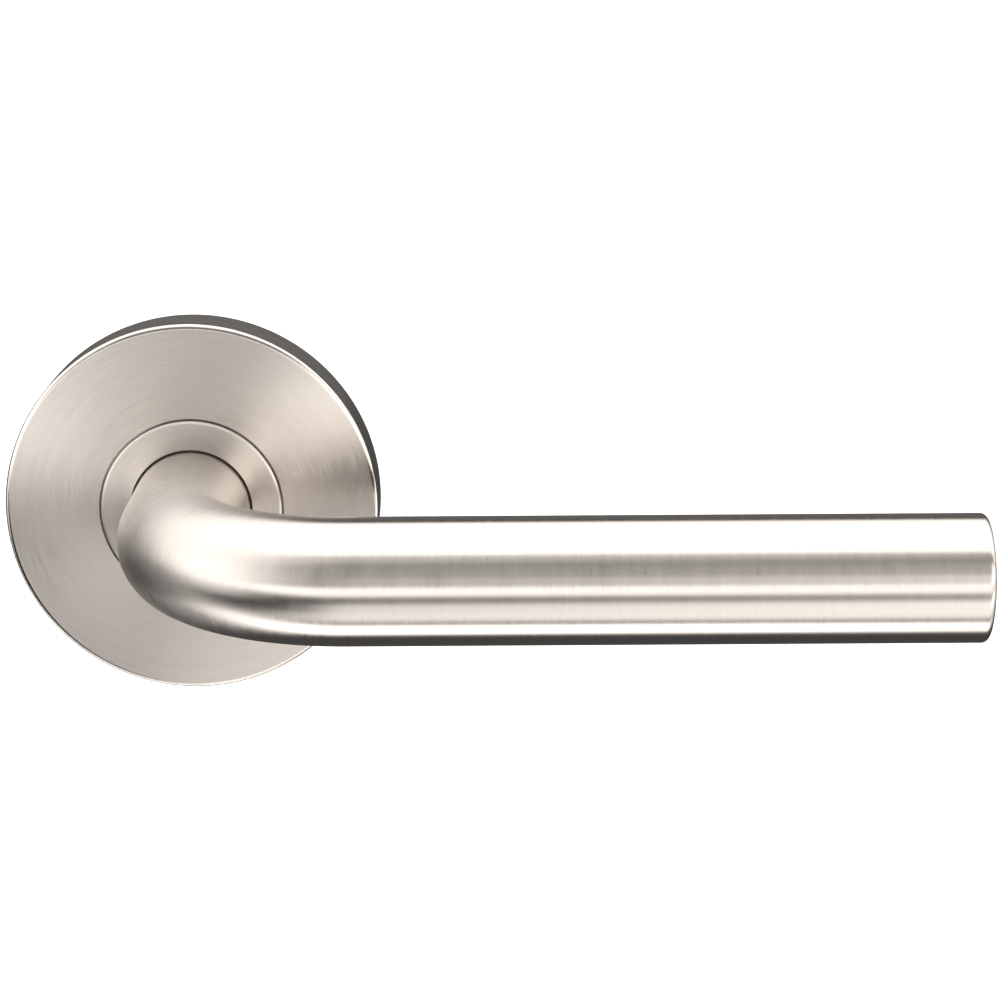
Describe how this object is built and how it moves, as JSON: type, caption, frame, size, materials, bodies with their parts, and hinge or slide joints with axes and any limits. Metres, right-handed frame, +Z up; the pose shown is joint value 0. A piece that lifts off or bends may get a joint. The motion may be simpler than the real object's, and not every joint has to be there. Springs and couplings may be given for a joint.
{
  "type": "door lever handle",
  "caption": "Sprung door lever handle: a bent round bar on a round rose, with spindle and fixing posts for a bored door.",
  "frame": {"origin": "middle of the rose's back face, where the spindle's axis meets the face of the door", "axes": "+Y along the spindle into the door, -Y towards the person using it, +X along the level lever from the axis to its free end, +Z up"},
  "size_m": [0.1588, 0.138, 0.0636],
  "materials": {
    "rose_stainless": "satin stainless steel, brushed in rings",
    "collar_stainless": "satin stainless steel, brushed in rings",
    "lever_stainless": "satin stainless steel, brushed across the bar",
    "black_nylon": "plain nylon",
    "white_nylon": "plain nylon",
    "black_rubber": "smooth rubber",
    "die_cast_zinc": "as-cast zinc alloy, light grey, dull",
    "spring_steel": "drawn spring steel, oiled",
    "plain_steel": "turned steel",
    "zinc_plated_steel": "bright zinc plating",
    "screw_steel": "bright zinc plating",
    "post_steel": "bright zinc plating",
    "spindle_steel": "drawn square bar, zinc plated",
    "black_oxide_steel": "black oxide"
  },
  "bodies": {
    "rose": {"rose_cover": "rose_stainless", "collar_ring": "collar_stainless", "collar_washer": "black_nylon", "base_plate": "die_cast_zinc", "cover_o_ring": "black_rubber", "bearing_bush": "white_nylon", "return_spring": "spring_steel", "spring_anchor_pin": "plain_steel", "spring_cover": "zinc_plated_steel", "spring_cover_screws": "screw_steel", "fixing_post_left": "post_steel", "fixing_post_right": "post_steel"},
    "lever": {"lever_tube": "lever_stainless", "end_cap": "lever_stainless", "neck_insert": "plain_steel", "grub_screw": "black_oxide_steel", "spindle": "spindle_steel", "driver": "zinc_plated_steel", "thrust_washer": "plain_steel", "circlip": "spring_steel", "wave_washer": "spring_steel"}
  },
  "joints": [
    {"name": "lever_turn", "type": "hinge", "parent": "rose", "child": "lever", "pos_m": [0, 0, 0], "axis": [0, 1, 0], "range_deg": [0, 55], "stiffness_Nm_per_rad": 0.63, "springref_deg": -51.57, "deforming": ["return_spring"]}
  ]
}
